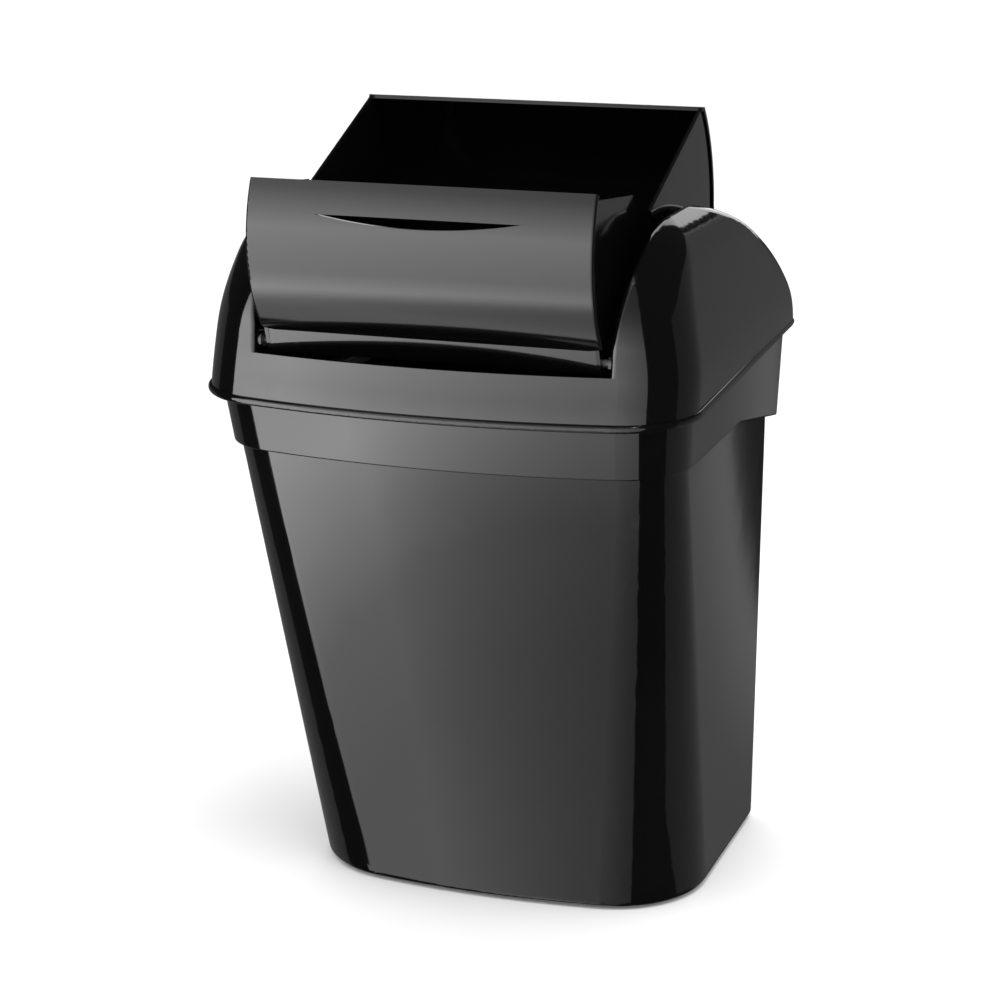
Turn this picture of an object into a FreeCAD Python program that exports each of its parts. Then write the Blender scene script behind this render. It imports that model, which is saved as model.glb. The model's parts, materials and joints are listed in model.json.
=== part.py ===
"""Hooded waste bin: leaning bucket, domed hood, split flap, bag ring and feet.

Sizes are in millimetres. The frame has +Z up and -Y at the front. A place is often
given by its depth, which is how far it lies in front of the bucket's rear wall.
"""
import FreeCAD, Part
import math
import os

V = FreeCAD.Vector

# Driving dimensions
REAR_Y = 198.0          # the rear wall's place in the frame
WALL = 3.0
FOOT_RISE = 2.0         # the bucket's base stands this high on its feet
FOOT_R = 9.0
FOOT_SOCKET = 1.5
BASE_ROUND = 7.0
BAND_Z = 405.0          # lower line of the standing band
BAND_HEIGHT = 42.0
BAND_ROUND = 1.6
LEDGE_Z = 424.0         # the bag ring's ledge inside the rim
LEDGE_THICK = 4.0
LEDGE_EDGE = 9.0        # the ledge's inner edge, in from the bucket's outline
SEAM_FRONT_Z = 447.0    # the seam between bucket and hood rises slightly to the rear
SEAM_REAR_Z = 460.0
SEAM_FRONT_DEPTH = 400.0
SEAM_GAP = 0.3
COLLAR_DEPTH = 157.0    # the band grows deeper from here to the rear
COLLAR_DROP = 32.0
BEAD_HEIGHT = 6.0
OVERSHOOT = 20.0        # lofts and cutting blocks run past the shape by this or more
BLOCK_HALF = 260.0
CORNER_REACH = 0.85     # a round corner's tangent length, as a share of its radius

# Plan outlines: half width in front and behind, depth of the front corners, bow of the front,
# and the radii of the front and rear corners
BASE_PLAN = (170.0, 173.0, 240.0, 18.0, 84.0, 16.0)
WALL_PLAN = (185.0, 176.0, 352.0, 24.0, 51.0, 16.0)         # the bucket's wall at BAND_Z
BAND_LOW_PLAN = (188.0, 187.0, 360.0, 24.0, 56.0, 14.0)
BAND_TOP_PLAN = (191.0, 189.0, 371.0, 24.0, 57.0, 14.0)     # BAND_HEIGHT higher
LIP_PLAN = (201.0, 199.0, 386.0, 24.0, 66.0, 14.0)
SEAT_PLAN = (198.0, 198.0, 385.0, 24.0, 65.0, 14.0)
SMALLEST_CORNER = 4.0

# Hood
HOOD_LOW_Z = 430.0      # the dome's loft starts below the seam, which trims it
HOOD_LEAN = 0.22        # the front's slope under the shoulder
HOOD_BOW = (1.0, 24.0)          # at the crest and at the shoulder
HOOD_CORNER_R = (46.0, 60.0)    # at the crest and at the shoulder
HOOD_REAR_R = (15.0, 38.0)      # below the rear's curve and at the crest
DOME_STEPS = (0, 12, 24, 36, 48, 60, 72, 82)    # degrees up the shoulder's curve
SHOULDER_Z = 487.0      # height of the opening's sill and start of the front shoulder
CREST_Z = 595.0
FRONT_DEPTH = 374.0     # the hood's front corners at the shoulder
CREST_DEPTH = 290.0
REAR_ROUND_Z = 474.0    # the rear starts to curve forward here
REAR_REACH = 225.0      # how far forward the rear curve runs by the crest
REAR_POWER = 1.6        # 2 is an ellipse, 1 a straight slope
CHEEK_HALF = 198.0
CHEEK_TOP_HALF = 172.0
CHEEK_POWER = 1.5
CHEEK_ROUND = 34.0
OPENING_HALF = 151.0
OPENING_SILL_HALF = 140.0
OPENING_REAR_DEPTH = 74.0
OPENING_FRONT_DEPTH = 388.0
SKIRT_REAR_DEPTH = 112.0
OPENING_FLARE_DEPTH = 335.0
SKIRT = 4.0             # thickness of the walls that hang from the opening's edge
SKIRT_Z = 474.0

# Front leaf: pivot and outer arc, open
FRONT_PIVOT = (371.0, 495.0)
PANEL_HALF = 136.6
PANEL_CENTRE = (303.0, 577.0)
PANEL_R = 107.0
PANEL_TOP_Z = 625.0
PANEL_LOW_ANGLE = -52.0
PANEL_ROUND = (2.4, 1.5)
CREASE_Z = 509.0
CREASE_SAG = 12.0
ARM_HALF = 134.0
SLOT_HALF = 81.0
SLOT_Z = 601.0
SLOT_SAG = 7.5

# Rear leaf: pivot and outer arc, open
REAR_PIVOT = (157.0, 488.0)
LEAF_TIP = (130.0, 658.0)
LEAF_R = 130.0
LEAF_KNEE = (92.0, 572.0)
LEAF_END = (66.0, 466.0)
LEAF_NOTCH = (283.0, 596.0)
LEAF_HALF = 145.5
CHEEK_OUTER = 144.0
MARK_R = 11.0           # round moulding marks on the rear leaf's inner face
MARK_WIDTH = 0.8
MARK_DEPTH = 0.35
MARK_PLACES = ((-100.0, 0.24), (16.0, 0.24))    # x, and share of the way from tip to knee

# Pivot hardware
PIN_R = 3.0
PIN_CLEARANCE = 0.05
BUSH_R = 5.5
BOSS_R = 8.0
REAR_HUB_R = 11.0
FRONT_BOSS = (139.5, 149.0)     # inner and outer end of a boss on the +X side
REAR_BOSS = (147.0, 156.0)
PIN_INSET = 7.0                 # a pivot pin starts this far inside its leaf's side

# Hood hinge
HINGE_DEPTH = -7.0
HINGE_Z = 456.0
KNUCKLE_R = 7.0
HINGE_X = 80.0
KNUCKLE_HALF = 10.0
HINGE_HALF = 24.0
KNUCKLE_GAP = 0.5
WEB_DEPTH = 2.5         # the knuckles' webs reach this far into the wall
BORE_HALF = 40.0

# Bag ring
RING_Z = 428.3
RING_THICK = 3.0
RING_LIP = 8.0
RING_OUTER = 4.5        # insets from the bucket's outline
RING_INNER = 28.0
RING_LIP_OUTER = 26.0
RING_LIP_INNER = 29.0


def at(x, depth, z):
    return V(x, REAR_Y - depth, z)


def arc(first, middle, last):
    return Part.Arc(first, middle, last).toShape()


def line(first, last):
    return Part.makeLine(first, last)


def corner(vertex, towards_a, towards_b, radius):
    """Ends and middle of a round corner between two directions from its vertex."""
    half = towards_a.getAngle(towards_b) / 2
    reach = radius / math.tan(half)
    bisector = (towards_a + towards_b).normalize()
    middle = vertex + bisector * (radius / math.sin(half) - radius)
    return vertex + towards_a * reach, middle, vertex + towards_b * reach


def mirrored(point):
    return V(-point.x, point.y, point.z)


def mix(low, high, share):
    return low + (high - low) * share


def outline(z, half, half_rear, front, rear, bow, r_front, r_rear):
    """Closed plan outline: bowed front, round corners, straight sides and rear."""
    front_corner = at(half, front, z)
    rear_corner = at(half_rear, rear, z)
    bow_angle = 2 * bow / (half + CORNER_REACH * r_front)
    along_front = V(-math.cos(bow_angle), -math.sin(bow_angle), 0)
    along_side = (rear_corner - front_corner).normalize()
    a, b, c = corner(front_corner, along_front, along_side, r_front)
    d, e, f = corner(rear_corner, along_side * -1, V(-1, 0, 0), r_rear)
    middle = V(0, a.y - a.x * math.tan(bow_angle / 2), z)
    edges = [
        arc(mirrored(a), middle, a),
        arc(a, b, c),
        line(c, d),
        arc(d, e, f),
        line(f, mirrored(f)),
        arc(mirrored(f), mirrored(e), mirrored(d)),
        line(mirrored(d), mirrored(c)),
        arc(mirrored(c), mirrored(b), mirrored(a)),
    ]
    return Part.Wire(edges)


def plan_between(low, high, share):
    return [mix(a, b, share) for a, b in zip(low, high)]


def plan_outline(plan, z, inset=0.0):
    """The closed outline of one of the plans, at a height and pulled in by the inset."""
    half, half_rear, front, bow, r_front, r_rear = plan
    r_rear = max(r_rear - inset, SMALLEST_CORNER)
    return outline(z, half - inset, half_rear - inset, front - inset, inset, bow,
                   r_front - inset, r_rear)


def loft(wires, ruled=True):
    return Part.makeLoft(wires, True, ruled)


def side_prism(profile, x0, x1):
    """A solid along X from x0 to x1; the profile is a wire, or a list of depths and heights."""
    if isinstance(profile, list):
        points = [at(x0, depth, z) for depth, z in profile]
        wire = Part.makePolygon(points + points[:1])
    else:
        wire = profile.translated(V(x0, 0, 0))
    return Part.Face(wire).extrude(V(x1 - x0, 0, 0))


def wide_block(profile):
    """A cutting block wider than the bin, from its side profile."""
    return side_prism(profile, -BLOCK_HALF, BLOCK_HALF)


def block_between(near, far):
    """A cutting block that takes everything between two depths, over the hood's height."""
    low, high = HOOD_LOW_Z - OVERSHOOT, CREST_Z + 5 * OVERSHOOT
    return wide_block([(far, low), (near, low), (near, high), (far, high)])


def cross_cylinder(radius, x0, x1, depth, z):
    return Part.makeCylinder(radius, x1 - x0, at(x0, depth, z), V(1, 0, 0))


def above_seam(lift):
    """A block that takes everything above the seam, raised by the lift."""
    rise = (SEAM_REAR_Z - SEAM_FRONT_Z) / SEAM_FRONT_DEPTH
    far, near, top = 480.0, -60.0, 700.0
    profile = [
        (far, SEAM_REAR_Z - rise * far + lift),
        (near, SEAM_REAR_Z - rise * near + lift),
        (near, top),
        (far, top),
    ]
    return wide_block(profile)


def body_outline(z, inset=0.0):
    """The bucket's outline leans forward and widens with height."""
    return plan_outline(plan_between(BASE_PLAN, WALL_PLAN, z / BAND_Z), z, inset)


def band_outline(z):
    share = (z - BAND_Z) / BAND_HEIGHT
    return plan_outline(plan_between(BAND_LOW_PLAN, BAND_TOP_PLAN, share), z)


def make_band(top):
    """The standing band, with a collar that grows deeper to the rear."""
    band = loft([band_outline(BAND_Z - 2 * OVERSHOOT), band_outline(top)])
    far, near, low = 460.0, -20.0, BAND_Z - 3 * OVERSHOOT
    below = [
        (far, low),
        (far, BAND_Z),
        (COLLAR_DEPTH, BAND_Z),
        (near, BAND_Z - COLLAR_DROP),
        (near, low),
    ]
    band = band.cut(wide_block(below))
    return rounded(band, (BAND_ROUND,), lambda e: e.BoundBox.ZMax < BAND_Z + 0.01 and not on_rear(e))


def make_ledge():
    """The ledge inside the rim that carries the bag ring."""
    return ring_band(LEDGE_Z, LEDGE_THICK, 0.5, LEDGE_EDGE)


def add_body_knuckle(bucket, x):
    low, high = x - KNUCKLE_HALF, x + KNUCKLE_HALF
    knuckle = cross_cylinder(KNUCKLE_R, low, high, HINGE_DEPTH, HINGE_Z)
    web = [
        (HINGE_DEPTH - KNUCKLE_R, HINGE_Z),
        (HINGE_DEPTH, HINGE_Z - KNUCKLE_R),
        (WEB_DEPTH, HINGE_Z - 34),
        (WEB_DEPTH, HINGE_Z),
    ]
    return bucket.fuse(knuckle).fuse(side_prism(web, low, high)).cut(hinge_bore(x))


def hinge_bore(x):
    radius = PIN_R + PIN_CLEARANCE
    return cross_cylinder(radius, x - BORE_HALF, x + BORE_HALF, HINGE_DEPTH, HINGE_Z)


def make_body():
    base = FOOT_RISE
    top = SEAM_REAR_Z + OVERSHOOT
    outer = loft([body_outline(base), body_outline(top)])
    bottom_edges = [e for e in outer.Edges if e.BoundBox.ZMax < base + 0.1]
    outer = outer.makeFillet(BASE_ROUND, bottom_edges)
    hollow = loft([body_outline(base + WALL, WALL), body_outline(top + 5, WALL)])
    bucket = outer.fuse(make_band(top)).cut(hollow).cut(above_seam(0))
    bucket = bucket.fuse(make_ledge())
    for side in (-1, 1):
        bucket = add_body_knuckle(bucket, side * HINGE_X)
    for x, depth in foot_places():
        bucket = bucket.cut(Part.makeCylinder(FOOT_R, FOOT_SOCKET, at(x, depth, base), V(0, 0, 1)))
    return bucket.removeSplitter()


def foot_places():
    return [(-125, 205), (125, 205), (-140, 35), (140, 35)]


def make_foot(x, depth):
    return Part.makeCylinder(FOOT_R, FOOT_RISE + FOOT_SOCKET, at(x, depth, 0), V(0, 0, 1))


def hood_outline(z, inset=0.0):
    """One level of the dome; inset gives the matching level of its hollow."""
    outer_z = z + inset
    rise = max(0.0, (outer_z - SHOULDER_Z) / (CREST_Z - SHOULDER_Z))
    shoulder = math.sqrt(max(0.0, 1 - rise * rise))
    front = mix(CREST_DEPTH, FRONT_DEPTH, shoulder) + HOOD_LEAN * max(0.0, SHOULDER_Z - outer_z)
    climb = max(0.0, outer_z - REAR_ROUND_Z) / (CREST_Z - REAR_ROUND_Z)
    rear = REAR_REACH * (1 - max(0.0, 1 - climb ** REAR_POWER) ** (1 / REAR_POWER))
    half = CHEEK_HALF - (CHEEK_HALF - CHEEK_TOP_HALF) * climb ** CHEEK_POWER
    round_up = max(0.0, outer_z - CREST_Z + CHEEK_ROUND) / CHEEK_ROUND
    half -= CHEEK_ROUND * (1 - math.sqrt(max(0.0, 1 - round_up * round_up)))
    r_front = mix(*HOOD_CORNER_R, shoulder)
    return outline(z, half - inset, half - inset, front - inset, rear + inset,
                   mix(*HOOD_BOW, shoulder), r_front - inset, mix(*HOOD_REAR_R, climb) - inset)


def dome(inset=0.0):
    """The domed solid, or with an inset the hollow inside it."""
    levels = [SHOULDER_Z - 38 - inset, SHOULDER_Z - 19 - inset]
    for degrees in DOME_STEPS:
        levels.append(mix(SHOULDER_Z, CREST_Z, math.sin(math.radians(degrees))) - inset)
    levels.insert(0, HOOD_LOW_Z)
    return loft([hood_outline(z, inset) for z in levels], ruled=False)


def opening_prism(grow, z0, z1):
    """The opening in plan: narrower at its front corners, straight to the rear."""
    well_in_front = 460.0
    points = [
        at(OPENING_SILL_HALF + grow, well_in_front, z0),
        at(OPENING_SILL_HALF + grow, OPENING_FRONT_DEPTH, z0),
        at(OPENING_HALF + grow, OPENING_FLARE_DEPTH, z0),
        at(OPENING_HALF + grow, OPENING_REAR_DEPTH - grow, z0),
    ]
    points += [mirrored(p) for p in reversed(points)]
    face = Part.Face(Part.makePolygon(points + points[:1]))
    return face.extrude(V(0, 0, z1 - z0))


def pivot_places():
    return {"front": FRONT_PIVOT, "rear": REAR_PIVOT}


def boss_span(which):
    return FRONT_BOSS if which == "front" else REAR_BOSS


def rounded(solid, radii, wanted):
    """Round the edges that wanted() picks, with the largest radius that works."""
    edges = [e for e in solid.Edges if wanted(e)]
    for radius in radii:
        try:
            result = solid.makeFillet(radius, edges)
            if result.isValid() and result.Volume < solid.Volume * 1.02:
                return result
        except Exception:
            continue
    return solid


def on_opening_side(edge):
    box = edge.BoundBox
    x = max(abs(box.XMin), abs(box.XMax))
    in_plane = box.XLength < 14 and OPENING_SILL_HALF - 1 < x < OPENING_HALF + 1
    return in_plane and box.ZMin > SHOULDER_Z + 3 and box.YLength > 2


def make_bead():
    """The rounded bead that runs round the hood's lower edge."""
    bead = loft([lip_outline(SEAM_FRONT_Z - 6), lip_outline(SEAM_REAR_Z + BEAD_HEIGHT + 8)])
    bead = bead.common(above_seam(SEAM_GAP)).cut(above_seam(SEAM_GAP + BEAD_HEIGHT))
    return rounded(bead, (2.8, 2.2, 1.5), lambda e: e.Length > 30 and not on_rear(e))


def make_seat():
    """The flat inner rim by which the hood sits on the bucket."""
    low, high = SEAM_FRONT_Z - 10, SEAM_REAR_Z + OVERSHOOT
    plate = loft([plan_outline(SEAT_PLAN, z, 1) for z in (low, high)])
    plate = plate.cut(loft([body_outline(z, 1) for z in (low - 2, high + 2)]))
    return plate.common(above_seam(SEAM_GAP)).cut(above_seam(SEAM_GAP + WALL))


def make_hood():
    top = CREST_Z + 3 * OVERSHOOT
    solid = dome().common(above_seam(SEAM_GAP)).fuse(make_bead())
    solid = solid.cut(opening_prism(0, SHOULDER_Z, top))
    solid = rounded(solid, (6, 4, 2.5), on_opening_side)
    skirt = opening_prism(SKIRT, SKIRT_Z, top).cut(opening_prism(0, SKIRT_Z - 5, top + 10))
    skirt = skirt.cut(block_between(OPENING_FRONT_DEPTH, 500))
    skirt = skirt.cut(block_between(0, SKIRT_REAR_DEPTH))
    hood = solid.cut(dome(WALL).cut(skirt)).fuse(make_seat())
    for which, (depth, z) in pivot_places().items():
        x0, x1 = boss_span(which)
        for side in (-1, 1):
            low, high = sorted((side * x0, side * x1))
            hood = hood.fuse(cross_cylinder(BOSS_R, low, high, depth, z))
            hood = hood.cut(cross_cylinder(BUSH_R, low - 4, high + 0.2, depth, z))
    for side in (-1, 1):
        hood = add_hood_knuckles(hood, side * HINGE_X)
    return hood.removeSplitter()


def on_rear(edge):
    return edge.BoundBox.YMin > REAR_Y - 2


def lip_outline(z):
    return plan_outline(LIP_PLAN, z)


def add_hood_knuckles(hood, x):
    inner = KNUCKLE_HALF + KNUCKLE_GAP
    for low, high in ((x - HINGE_HALF, x - inner), (x + inner, x + HINGE_HALF)):
        knuckle = cross_cylinder(KNUCKLE_R, low, high, HINGE_DEPTH, HINGE_Z)
        web = [
            (HINGE_DEPTH - KNUCKLE_R, HINGE_Z),
            (HINGE_DEPTH - KNUCKLE_R + 2, HINGE_Z + 12),
            (WEB_DEPTH, HINGE_Z + 30),
            (WEB_DEPTH, SEAM_REAR_Z + 1),
            (-0.4, SEAM_REAR_Z + 1),
            (-0.4, HINGE_Z),
        ]
        hood = hood.fuse(knuckle).fuse(side_prism(web, low, high))
    return hood.cut(hinge_bore(x))


def make_hinge_pin(x):
    """A headed pin that turns with the hood's knuckles."""
    shaft = cross_cylinder(PIN_R, x - HINGE_HALF, x + HINGE_HALF, HINGE_DEPTH, HINGE_Z)
    head = cross_cylinder(PIN_R + 2, x + HINGE_HALF, x + HINGE_HALF + 2.5, HINGE_DEPTH, HINGE_Z)
    return shaft.fuse(head).removeSplitter()


def panel_point(angle, inset=0.0):
    """A point on the front leaf's arc, by its angle above the forward direction."""
    a = math.radians(angle)
    depth = PANEL_CENTRE[0] + (PANEL_R - inset) * math.cos(a)
    return depth, PANEL_CENTRE[1] + (PANEL_R - inset) * math.sin(a)


def arc_strip(low, high, outer_inset, inner_inset):
    """Closed side profile between two arcs of the panel."""
    mid = (low + high) / 2
    out = [at(0, *panel_point(a, outer_inset)) for a in (low, mid, high)]
    inn = [at(0, *panel_point(a, inner_inset)) for a in (high, mid, low)]
    edges = [arc(*out), line(out[2], inn[0]), arc(*inn), line(inn[2], out[0])]
    return Part.Wire(edges)


def lens(half, top_z, sag):
    """A slot with a straight top edge and a curved bottom edge, cut from the front."""
    left = at(-half, 430, top_z)
    right = at(half, 430, top_z)
    low = at(0, 430, top_z - sag)
    wire = Part.Wire([line(left, right), arc(right, low, left)])
    return Part.Face(wire).extrude(V(0, 60, 0))


def below_crease():
    """Everything under the panel's smile-shaped lower edge."""
    left = at(-150, 430, CREASE_Z + 1)
    right = at(150, 430, CREASE_Z + 1)
    low = at(0, 430, CREASE_Z - CREASE_SAG)
    edges = [
        arc(left, low, right),
        line(right, at(150, 430, 440)),
        line(at(150, 430, 440), at(-150, 430, 440)),
        line(at(-150, 430, 440), left),
    ]
    return Part.Face(Part.Wire(edges)).extrude(V(0, 60, 0))


def make_panel(top):
    """The front leaf's curved panel, with its finger slot and rounded side edges."""
    panel = side_prism(arc_strip(PANEL_LOW_ANGLE, top, 0, WALL), -PANEL_HALF, PANEL_HALF)
    panel = rounded(panel, PANEL_ROUND, is_panel_side)
    return panel.cut(below_crease()).cut(lens(SLOT_HALF, SLOT_Z, SLOT_SAG))


def is_panel_side(edge):
    """True for the two long outer arcs at the panel's sides."""
    on_side = abs(abs(edge.BoundBox.XMin) - PANEL_HALF) < 0.1
    return on_side and hasattr(edge.Curve, "Radius") and abs(edge.Curve.Radius - PANEL_R) < 0.1


def make_front_flap():
    top = math.degrees(math.asin((PANEL_TOP_Z - PANEL_CENTRE[1]) / PANEL_R))
    flange = side_prism([(385, 512), (381.5, 512), (374, 488), (377.5, 488)], -ARM_HALF, ARM_HALF)
    cover = side_prism([(391, 512), (383, 512), (379, 499), (384, 499)], -ARM_HALF, ARM_HALF)
    cover = cover.common(side_prism(arc_strip(PANEL_LOW_ANGLE, top, 1, 12), -ARM_HALF, ARM_HALF))
    leaf = make_panel(top).fuse(flange).fuse(cover)
    depth, z = FRONT_PIVOT
    for side in (-1, 1):
        leaf = leaf.fuse(make_arm(side))
    for side in (-1, 1):
        leaf = leaf.cut(cross_cylinder(PIN_R, side * ARM_HALF - 8, side * ARM_HALF + 8, depth, z))
    return leaf.removeSplitter()


def make_arm(side):
    """One side wall of the front leaf, from the panel back to its tip and pivot."""
    inner = ARM_HALF - WALL
    top_inner = panel_point(24, 1.5)
    profile = [
        top_inner,
        (298, 610),
        (284, 597),
        (290, 585),
        (360, 489),
        (366, 487),
        (377, 487),
        panel_point(-37, 2.5),
        panel_point(-18, 1.5),
        panel_point(4, 1.5),
    ]
    low, high = sorted((side * inner, side * ARM_HALF))
    arm = side_prism(profile, low, high)
    depth, z = FRONT_PIVOT
    hub = cross_cylinder(BOSS_R, *sorted((side * (inner - 4), side * ARM_HALF)), depth, z)
    return arm.fuse(hub)


def leaf_profile():
    """The rear leaf's outer face: an arc from the tip to the knee, then straight."""
    tip = at(0, *LEAF_TIP)
    knee = at(0, *LEAF_KNEE)
    end = at(0, *LEAF_END)
    chord = knee - tip
    rise = LEAF_R - math.sqrt(LEAF_R ** 2 - (chord.Length / 2) ** 2)
    outward = V(0, -chord.z, chord.y).normalize()
    middle = (tip + knee) * 0.5 + outward * rise
    inset = V(0, -WALL, -WALL * 0.4)
    tip_in, middle_in = tip + V(0, -WALL * 0.7, -WALL), middle + V(0, -WALL, -WALL * 0.6)
    knee_in, end_in = knee + inset, end + V(0, -WALL, 0)
    edges = [
        arc(tip, middle, knee),
        line(knee, end),
        line(end, end_in),
        line(end_in, knee_in),
        arc(knee_in, middle_in, tip_in),
        line(tip_in, tip),
    ]
    return Part.Wire(edges), middle


def moulding_mark(x, share):
    """A thin ring that cuts a shallow mark into the rear leaf's inner face."""
    tip, knee = at(x, *LEAF_TIP), at(x, *LEAF_KNEE)
    chord = knee - tip
    inward = V(0, chord.z, -chord.y).normalize()
    rise = LEAF_R - math.sqrt(LEAF_R ** 2 - (chord.Length / 2) ** 2)
    along = (share - 0.5) * chord.Length
    sag = rise - along ** 2 / (2 * LEAF_R)
    face = mix(tip, knee, share) - inward * sag + inward * (WALL - MARK_DEPTH)
    ring = Part.makeCylinder(MARK_R, WALL, face, inward)
    return ring.cut(Part.makeCylinder(MARK_R - MARK_WIDTH, WALL, face, inward))


def make_rear_flap():
    profile, middle = leaf_profile()
    leaf = side_prism(profile, -LEAF_HALF, LEAF_HALF)
    for x, share in MARK_PLACES:
        leaf = leaf.cut(moulding_mark(x, share))
    depth, z = REAR_PIVOT
    bulge = (REAR_Y - middle.y + 1.5, middle.z - 1)
    cheek = [
        (LEAF_TIP[0] + 1.5, LEAF_TIP[1] - 0.5),
        bulge,
        (LEAF_KNEE[0] + 1.5, LEAF_KNEE[1]),
        (LEAF_END[0] + 1.5, LEAF_END[1] + 1),
        (depth - 4, z - 11),
        (depth + 9, z - 8),
        LEAF_NOTCH,
    ]
    for side in (-1, 1):
        low, high = sorted((side * (CHEEK_OUTER - WALL), side * CHEEK_OUTER))
        leaf = leaf.fuse(side_prism(cheek, low, high))
        hub_low, hub_high = sorted((side * (CHEEK_OUTER - PIN_INSET), side * CHEEK_OUTER))
        leaf = leaf.fuse(cross_cylinder(REAR_HUB_R, hub_low, hub_high, depth, z))
        leaf = leaf.cut(cross_cylinder(PIN_R, hub_low - 2, hub_high + 2, depth, z))
    return leaf.removeSplitter()


def pin_span(which):
    """A pivot pin's inner and outer end on the +X side."""
    side = ARM_HALF if which == "front" else CHEEK_OUTER
    return side - PIN_INSET, boss_span(which)[1] + 1


def make_pivot_pin(which, side):
    depth, z = pivot_places()[which]
    inner, outer = pin_span(which)
    low, high = sorted((side * inner, side * outer))
    return cross_cylinder(PIN_R, low, high, depth, z)


def make_bush(which, side):
    depth, z = pivot_places()[which]
    x0, x1 = boss_span(which)
    low, high = sorted((side * (x0 - 0.5), side * x1))
    bush = cross_cylinder(BUSH_R, low, high, depth, z)
    return bush.cut(cross_cylinder(PIN_R + PIN_CLEARANCE, low - 1, high + 1, depth, z))


def ring_band(z, height, outer, inner):
    """A closed band that follows the bucket's outline, between two insets."""
    band = loft([body_outline(z, outer), body_outline(z + height, outer)])
    return band.cut(loft([body_outline(z - 1, inner), body_outline(z + height + 1, inner)]))


def make_bag_ring():
    """A flat ring that rests on the ledge inside the rim, with a lip for the bag."""
    plate = ring_band(RING_Z, RING_THICK, RING_OUTER, RING_INNER)
    lip = ring_band(RING_Z, RING_LIP, RING_LIP_OUTER, RING_LIP_INNER)
    return plate.fuse(lip).removeSplitter()


def main():
    os.makedirs("parts", exist_ok=True)
    nodes = {
        "bin_body": make_body(),
        "hood": make_hood(),
        "front_flap": make_front_flap(),
        "rear_flap": make_rear_flap(),
        "bag_ring": make_bag_ring(),
        "hood_hinge_pin_left": make_hinge_pin(-HINGE_X),
        "hood_hinge_pin_right": make_hinge_pin(HINGE_X),
    }
    for name, side in (("left", -1), ("right", 1)):
        for which in ("front", "rear"):
            nodes[f"{which}_flap_pin_{name}"] = make_pivot_pin(which, side)
            nodes[f"{which}_flap_bush_{name}"] = make_bush(which, side)
    foot_names = ("front_left", "front_right", "rear_left", "rear_right")
    for name, (x, depth) in zip(foot_names, foot_places()):
        nodes[f"foot_{name}"] = make_foot(x, depth)
    whole = FreeCAD.BoundBox()
    for name, shape in nodes.items():
        shape.exportStep(f"parts/{name}.step")
        whole.add(shape.BoundBox)
        print(name, len(shape.Solids), "valid", shape.isValid(), "volume", round(shape.Volume))
    print("x", round(whole.XMin, 2), round(whole.XMax, 2))
    print("y", round(whole.YMin, 2), round(whole.YMax, 2))
    print("z", round(whole.ZMin, 2), round(whole.ZMax, 2))


main()
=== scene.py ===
"""Looks of the hooded waste bin: gloss black moulded plastic in a soft white studio."""
import json
import math

import bpy
from mathutils import Matrix, Vector


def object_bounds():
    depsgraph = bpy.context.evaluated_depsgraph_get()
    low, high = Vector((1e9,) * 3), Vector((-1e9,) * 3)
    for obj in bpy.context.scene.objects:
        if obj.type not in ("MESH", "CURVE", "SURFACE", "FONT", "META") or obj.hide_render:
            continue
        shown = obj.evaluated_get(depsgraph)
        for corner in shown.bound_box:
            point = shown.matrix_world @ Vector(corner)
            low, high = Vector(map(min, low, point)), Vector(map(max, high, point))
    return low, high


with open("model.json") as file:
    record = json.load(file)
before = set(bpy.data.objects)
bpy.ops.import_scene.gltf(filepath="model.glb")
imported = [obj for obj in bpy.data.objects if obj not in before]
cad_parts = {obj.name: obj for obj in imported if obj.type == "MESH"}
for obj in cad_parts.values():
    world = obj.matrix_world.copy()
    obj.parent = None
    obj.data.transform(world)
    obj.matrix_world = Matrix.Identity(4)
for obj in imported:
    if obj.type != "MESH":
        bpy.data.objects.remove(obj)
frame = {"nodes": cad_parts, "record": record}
cad_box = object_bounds()

# Camera, from the object's own box
CAMERA_AZIMUTH = math.radians(18.8)
CAMERA_ELEVATION = math.radians(15.3)
CAMERA_POSITION = (0.6655, -1.9731, 0.9032)
FOCAL_MM = 93.1
SENSOR_MM = 36.0

# Studio
FLOOR_HALF = 30.0
BACKGROUND_STRENGTH = 1.05      # what the camera sees behind the object
REFLECTED_STRENGTH = 0.025       # what the glossy faces see between the softboxes
AMBIENT_STRENGTH = 1.3          # what lights the matt floor

# Cards: patches of a sphere about the object, seen only by glossy faces
CARD_RADIUS = 1.8
CARD_HEIGHT = 0.33
CARD_ROWS = 48
CARD_COLUMNS = 24
# A graded card's share of its strength at some elevations, in degrees
GLOW = ((-85, 0.2), (-49, 0.26), (-42, 0.34), (-33, 0.9), (-20, 0.7), (12, 0.95), (40, 0.3), (70, 0.2))

# Plastic
BLACK = (0.0015, 0.0015, 0.0017, 1)
DEEP_BLACK = (0.0026, 0.0026, 0.0029, 1)
SOFT_BLACK = (0.012, 0.012, 0.013, 1)


def new_material(name):
    material = bpy.data.materials.new(name)
    material.use_nodes = True
    tree = material.node_tree
    shader = tree.nodes["Principled BSDF"]
    return material, tree, shader


def noise(tree, scale, detail, stretch=(1, 1, 1)):
    """Noise in object space, stretched along an axis where asked."""
    place = tree.nodes.new("ShaderNodeTexCoord")
    mapping = tree.nodes.new("ShaderNodeMapping")
    mapping.inputs["Scale"].default_value = stretch
    texture = tree.nodes.new("ShaderNodeTexNoise")
    texture.inputs["Scale"].default_value = scale
    texture.inputs["Detail"].default_value = detail
    tree.links.new(place.outputs["Object"], mapping.inputs["Vector"])
    tree.links.new(mapping.outputs["Vector"], texture.inputs["Vector"])
    return texture.outputs["Fac"]


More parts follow.
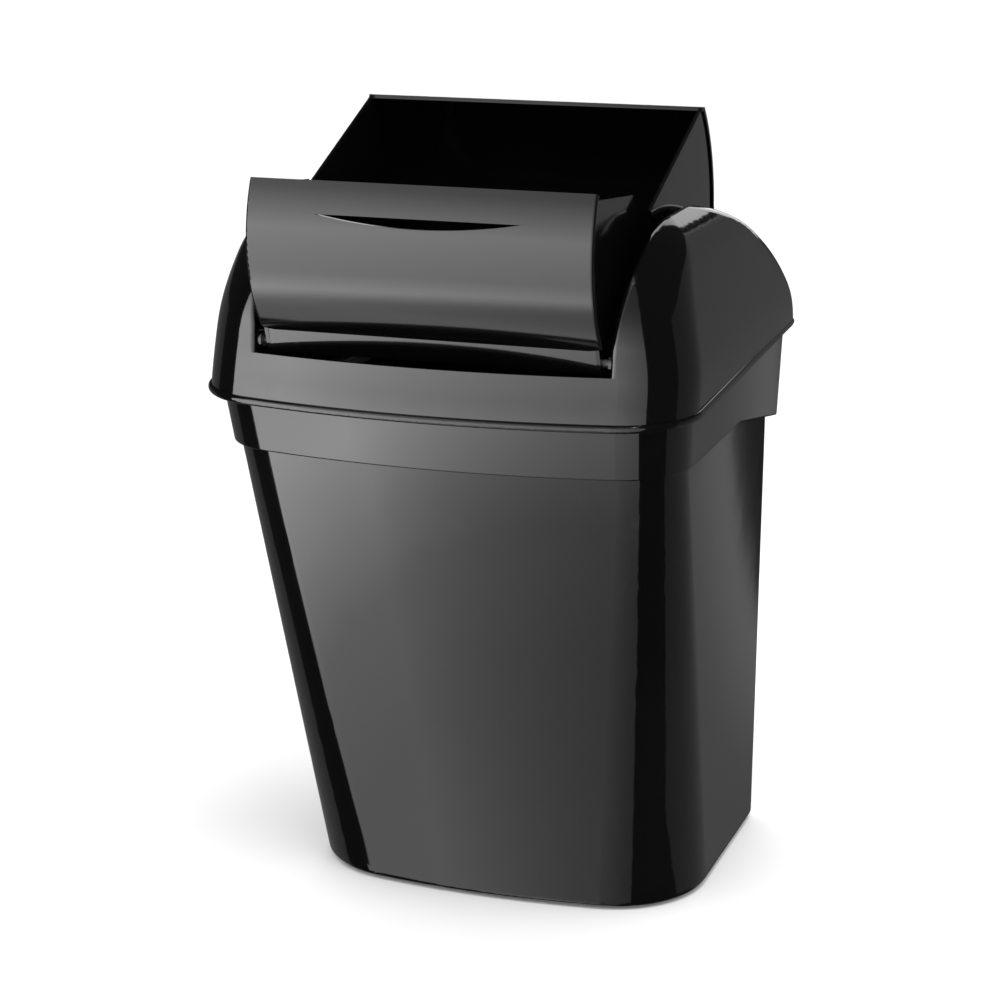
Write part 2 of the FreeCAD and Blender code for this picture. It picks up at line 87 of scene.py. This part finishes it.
def ramp(tree, factor, low, high, start=0.35, end=0.65):
    node = tree.nodes.new("ShaderNodeValToRGB")
    node.color_ramp.elements[0].position = start
    node.color_ramp.elements[0].color = low
    node.color_ramp.elements[1].position = end
    node.color_ramp.elements[1].color = high
    tree.links.new(factor, node.inputs["Fac"])
    return node.outputs["Color"]


def remap(tree, factor, low, high):
    node = tree.nodes.new("ShaderNodeMapRange")
    node.inputs["From Min"].default_value = 0.3
    node.inputs["From Max"].default_value = 0.7
    node.inputs["To Min"].default_value = low
    node.inputs["To Max"].default_value = high
    tree.links.new(factor, node.inputs["Value"])
    return node.outputs["Result"]


def bump(tree, shader, height, distance, strength):
    node = tree.nodes.new("ShaderNodeBump")
    node.inputs["Distance"].default_value = distance
    node.inputs["Strength"].default_value = strength
    tree.links.new(height, node.inputs["Height"])
    tree.links.new(node.outputs["Normal"], shader.inputs["Normal"])


def plastic(name, dark, light, rough_low, rough_high, bump_strength, stretch=(1, 1, 1)):
    """Moulded plastic: faint flow tone, uneven gloss and a very slight surface wave."""
    material, tree, shader = new_material(name)
    flow = noise(tree, 5.0, 3.0, stretch)
    fine = noise(tree, 900.0, 2.0)
    tree.links.new(ramp(tree, flow, dark, light), shader.inputs["Base Color"])
    tree.links.new(remap(tree, fine, rough_low, rough_high), shader.inputs["Roughness"])
    wave = noise(tree, 26.0, 1.0, stretch)
    bump(tree, shader, wave, 0.0004, bump_strength)
    shader.inputs["IOR"].default_value = 1.52
    return material


def steel(name):
    material, tree, shader = new_material(name)
    grain = noise(tree, 300.0, 4.0, (0.08, 1, 1))
    tree.links.new(ramp(tree, grain, (0.32, 0.32, 0.33, 1), (0.55, 0.55, 0.56, 1)),
                   shader.inputs["Base Color"])
    tree.links.new(remap(tree, grain, 0.25, 0.42), shader.inputs["Roughness"])
    shader.inputs["Metallic"].default_value = 1.0
    return material


def make_materials():
    gloss = plastic("gloss_black", BLACK, DEEP_BLACK, 0.045, 0.075, 0.07)
    flap = plastic("flap_black", BLACK, DEEP_BLACK, 0.07, 0.11, 0.09)
    satin = plastic("satin_black", SOFT_BLACK, (0.02, 0.02, 0.021, 1), 0.38, 0.5, 0.3)
    acetal = plastic("acetal", (0.03, 0.03, 0.032, 1), (0.05, 0.05, 0.052, 1), 0.3, 0.42, 0.2)
    rubber = plastic("rubber", (0.012, 0.012, 0.012, 1), (0.025, 0.024, 0.024, 1), 0.6, 0.8, 0.6)
    return {
        "bucket_plastic": gloss,
        "hood_plastic": gloss,
        "flap_plastic": flap,
        "ring_plastic": satin,
        "bush_plastic": acetal,
        "steel": steel("pin_steel"),
        "foot_rubber": rubber,
    }


def dress_nodes(materials):
    slots = {row["node"]: row["material_slot"] for row in frame["record"]["subparts"]}
    for name, obj in frame["nodes"].items():
        for slot in obj.material_slots:
            slot.material = materials[slots[name]]
        if not obj.material_slots:
            obj.data.materials.append(materials[slots[name]])


def make_floor():
    z = cad_box[0][2]
    corners = [(-FLOOR_HALF, -FLOOR_HALF, z), (FLOOR_HALF, -FLOOR_HALF, z),
               (FLOOR_HALF, FLOOR_HALF, z), (-FLOOR_HALF, FLOOR_HALF, z)]
    mesh = bpy.data.meshes.new("floor")
    mesh.from_pydata(corners, [], [(0, 1, 2, 3)])
    floor = bpy.data.objects.new("floor", mesh)
    bpy.context.collection.objects.link(floor)
    material, tree, shader = new_material("pale_floor")
    grain = noise(tree, 3.0, 2.0)
    tree.links.new(ramp(tree, grain, (0.9, 0.9, 0.9, 1), (0.93, 0.93, 0.93, 1)),
                   shader.inputs["Base Color"])
    shader.inputs["Roughness"].default_value = 0.7
    mesh.materials.append(material)
    floor.visible_glossy = False


def softbox(name, place, target, width, height, power):
    light = bpy.data.lights.new(name, "AREA")
    light.shape = "RECTANGLE"
    light.size = width
    light.size_y = height
    light.energy = power
    obj = bpy.data.objects.new(name, light)
    bpy.context.collection.objects.link(obj)
    obj.location = place
    toward = Vector(target) - Vector(place)
    obj.rotation_euler = toward.to_track_quat("-Z", "Y").to_euler()


def glow_share(degrees):
    """The graded card's profile at an elevation, straight between the points of GLOW."""
    for (low, first), (high, last) in zip(GLOW, GLOW[1:]):
        if degrees <= high:
            return first + (last - first) * max(0.0, degrees - low) / (high - low)
    return GLOW[-1][1]


def card(name, azimuths, elevations, strengths, graded=False):
    """A curved white card between two azimuths; 0 is the front and 90 the right."""
    verts, levels = [], []
    for row in range(CARD_ROWS + 1):
        degrees = elevations[0] + (elevations[1] - elevations[0]) * row / CARD_ROWS
        glow = glow_share(degrees) if graded else 1.0
        elevation = math.radians(degrees)
        for column in range(CARD_COLUMNS + 1):
            share = column / CARD_COLUMNS
            turn = math.radians(azimuths[0] + (azimuths[1] - azimuths[0]) * share)
            verts.append((CARD_RADIUS * math.sin(turn) * math.cos(elevation),
                          -CARD_RADIUS * math.cos(turn) * math.cos(elevation),
                          CARD_HEIGHT + CARD_RADIUS * math.sin(elevation)))
            levels.append(strengths[0] * (strengths[1] / strengths[0]) ** share * glow)
    faces = []
    width = CARD_COLUMNS + 1
    for row in range(CARD_ROWS):
        for column in range(CARD_COLUMNS):
            first = row * width + column
            faces.append((first, first + 1, first + 1 + width, first + width))
    mesh = bpy.data.meshes.new(name)
    mesh.from_pydata(verts, [], faces)
    mesh.attributes.new("level", "FLOAT", "POINT").data.foreach_set("value", levels)
    mesh.materials.append(card_material(name + "_glow"))
    obj = bpy.data.objects.new(name, mesh)
    bpy.context.collection.objects.link(obj)
    obj.visible_camera = False
    obj.visible_diffuse = False
    obj.visible_shadow = False


def card_material(name):
    """Light whose strength is the mesh's own level."""
    material = bpy.data.materials.new(name)
    material.use_nodes = True
    tree = material.node_tree
    tree.nodes.clear()
    level = tree.nodes.new("ShaderNodeAttribute")
    level.attribute_name = "level"
    glow = tree.nodes.new("ShaderNodeEmission")
    out = tree.nodes.new("ShaderNodeOutputMaterial")
    tree.links.new(level.outputs["Fac"], glow.inputs["Strength"])
    tree.links.new(glow.outputs["Emission"], out.inputs["Surface"])
    material.cycles.emission_sampling = "NONE"
    return material


def make_lights():
    card("front_left_card", (-63, -38), (-85, 70), (5.2, 6.3), graded=True)
    card("front_card", (-38, 48), (-85, 70), (6.3, 1.3), graded=True)
    card("right_card", (92, 162.4), (-45, 24), (0.16, 0.17))
    card("right_edge_card", (162.4, 164.4), (-45, 24), (0.17, 0.38))
    card("left_card", (-148, -95), (-50, 10), (0.16, 0.16))
    card("backdrop_card", (168, 212), (6, 52), (1.4, 1.4))
    card("rear_card", (190, 212), (-70, 6), (0.45, 0.45))
    softbox("top_box", (0.5, -0.9, 2.3), (0, 0, 0.4), 0.9, 0.5, 22)


def make_world():
    world = bpy.data.worlds.new("studio")
    bpy.context.scene.world = world
    world.use_nodes = True
    tree = world.node_tree
    seen = tree.nodes["Background"]
    seen.inputs["Color"].default_value = (1, 1, 1, 1)
    path = tree.nodes.new("ShaderNodeLightPath")
    level = tree.nodes.new("ShaderNodeMix")
    level.inputs["A"].default_value = AMBIENT_STRENGTH
    level.inputs["B"].default_value = REFLECTED_STRENGTH
    tree.links.new(path.outputs["Is Glossy Ray"], level.inputs["Factor"])
    shown = tree.nodes.new("ShaderNodeMix")
    shown.inputs["B"].default_value = BACKGROUND_STRENGTH
    tree.links.new(level.outputs["Result"], shown.inputs["A"])
    tree.links.new(path.outputs["Is Camera Ray"], shown.inputs["Factor"])
    tree.links.new(shown.outputs["Result"], seen.inputs["Strength"])


def make_camera():
    data = bpy.data.cameras.new("camera")
    data.lens = FOCAL_MM
    data.sensor_width = SENSOR_MM
    camera = bpy.data.objects.new("camera", data)
    bpy.context.collection.objects.link(camera)
    cos_e = math.cos(CAMERA_ELEVATION)
    back = Vector((math.sin(CAMERA_AZIMUTH) * cos_e, -math.cos(CAMERA_AZIMUTH) * cos_e,
                   math.sin(CAMERA_ELEVATION)))
    right = Vector((math.cos(CAMERA_AZIMUTH), math.sin(CAMERA_AZIMUTH), 0))
    up = back.cross(right)
    turn = Matrix((right, up, back)).transposed().to_4x4()
    camera.matrix_world = Matrix.Translation(CAMERA_POSITION) @ turn
    bpy.context.scene.camera = camera


bpy.context.scene.view_settings.view_transform = "Standard"
make_camera()
dress_nodes(make_materials())
make_floor()
make_lights()
make_world()
